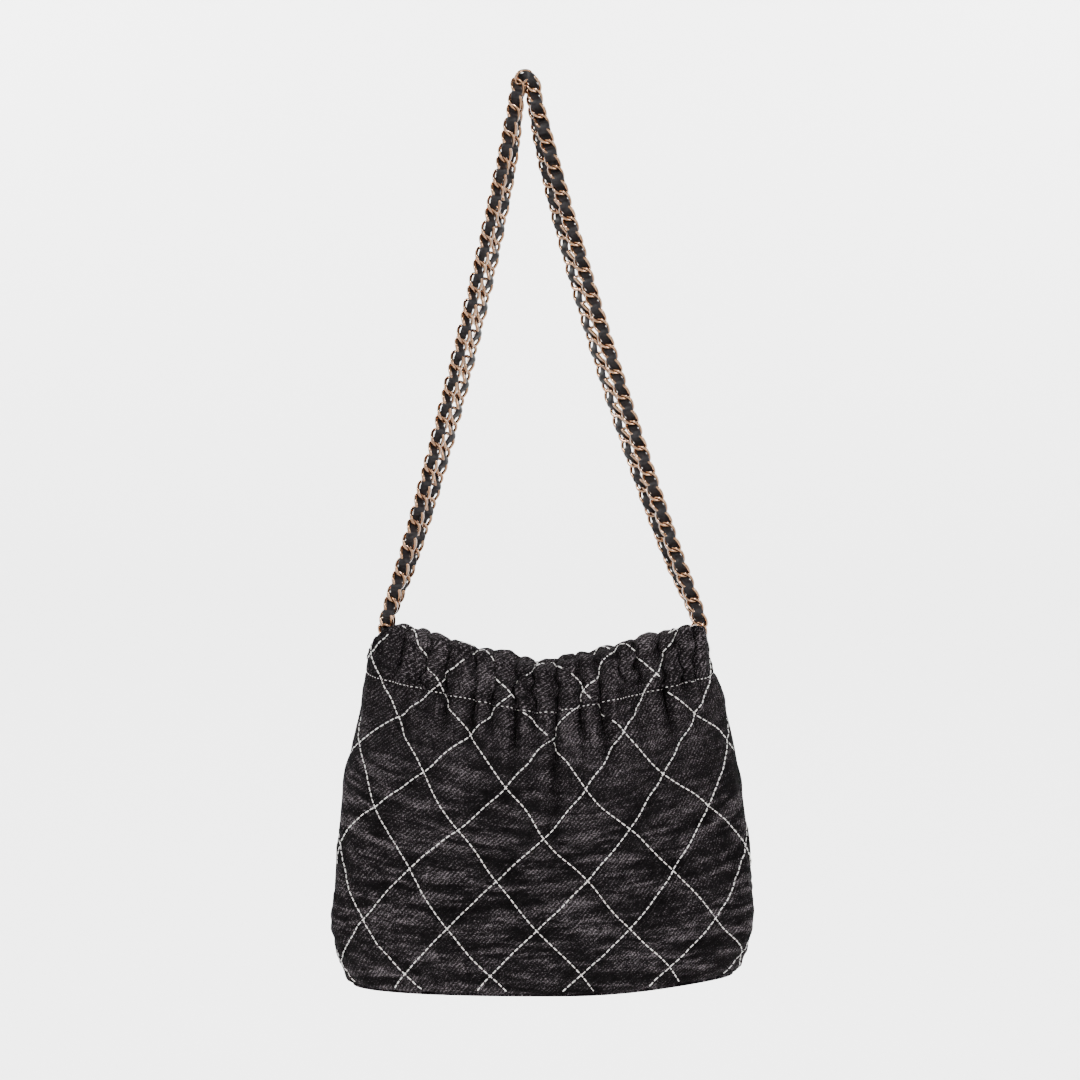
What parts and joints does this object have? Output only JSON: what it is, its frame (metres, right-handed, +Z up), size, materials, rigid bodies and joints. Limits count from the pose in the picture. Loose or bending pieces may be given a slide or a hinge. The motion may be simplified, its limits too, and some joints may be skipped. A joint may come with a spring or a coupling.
{
  "type": "bucket bag",
  "caption": "Gathered bucket bag of quilted denim on an oval base, with woven chain-and-leather straps running through a ruffled casing at the mouth, and an inner zip pocket.",
  "frame": {"origin": "the point of a hook that the straps hang on, inside their crook; the bag hangs below it with its base at z = -0.553 m and its middle plane at x = 0.011 m", "axes": "+Z up, the front panel faces -Y, +X to the right seen from the front"},
  "size_m": [0.261, 0.1048, 0.5656],
  "materials": {
    "denim": "stone-washed black denim, twill weave with pale flecks",
    "wadding": "white polyester wadding",
    "lining": "black woven lining, soft sheen",
    "board": "black stiffener board",
    "gold": "polished pale rose-gold plating",
    "leather": "black smooth leather, soft sheen",
    "steel": "plain steel washer",
    "thread": "thick off-white topstitching thread"
  },
  "bodies": {
    "bag": {"front_panel": "denim", "back_panel": "denim", "front_casing_facing": "denim", "back_casing_facing": "denim", "base_panel": "denim", "front_wadding": "wadding", "back_wadding": "wadding", "front_lining": "lining", "back_lining": "lining", "base_lining": "lining", "pocket_bag": "lining", "zip_tape_upper": "lining", "zip_tape_lower": "lining", "base_board": "board", "front_casing_chain": "gold", "back_casing_chain": "gold", "snap_socket": "gold", "snap_stud": "gold", "zip_teeth_upper": "gold", "zip_teeth_lower": "gold", "zip_stop_left": "gold", "zip_stop_right": "gold", "front_casing_lace": "leather", "back_casing_lace": "leather", "snap_socket_patch": "leather", "snap_stud_patch": "leather", "pocket_binding": "leather", "snap_socket_washer": "steel", "snap_stud_washer": "steel"},
    "front_exit_links": {"front_left_exit_link": "gold", "front_right_exit_link": "gold"},
    "front_strap": {"front_strap_chain": "gold", "front_strap_lace": "leather"},
    "back_exit_links": {"back_left_exit_link": "gold", "back_right_exit_link": "gold"},
    "back_strap": {"back_strap_chain": "gold", "back_strap_lace": "leather"},
    "zip_slider": {"zip_slider": "gold"},
    "zip_pull": {"zip_pull": "gold", "zip_pull_tab": "leather"}
  },
  "joints": [
    {"name": "front_link_turn", "type": "hinge", "parent": "bag", "child": "front_exit_links", "pos_m": [0.011, -0.011, -0.3305], "axis": [1, 0, 0], "range_deg": [0, 50]},
    {"name": "front_strap_fold", "type": "hinge", "parent": "front_exit_links", "child": "front_strap", "pos_m": [0.011, -0.011, -0.32244], "axis": [1, 0, 0], "range_deg": [0, 80]},
    {"name": "back_link_turn", "type": "hinge", "parent": "bag", "child": "back_exit_links", "pos_m": [0.011, 0.011, -0.3305], "axis": [-1, 0, 0], "range_deg": [0, 50]},
    {"name": "back_strap_fold", "type": "hinge", "parent": "back_exit_links", "child": "back_strap", "pos_m": [0.011, 0.011, -0.32244], "axis": [-1, 0, 0], "range_deg": [0, 80]},
    {"name": "zip_slide", "type": "slide", "parent": "bag", "child": "zip_slider", "axis": [1, 0, 0], "range_m": [-0.104, 0]},
    {"name": "zip_pull_swing", "type": "hinge", "parent": "zip_slider", "child": "zip_pull", "pos_m": [0.063, 0.0212, -0.447], "axis": [-1, 0, 0], "range_deg": [-4, 165]}
  ]
}
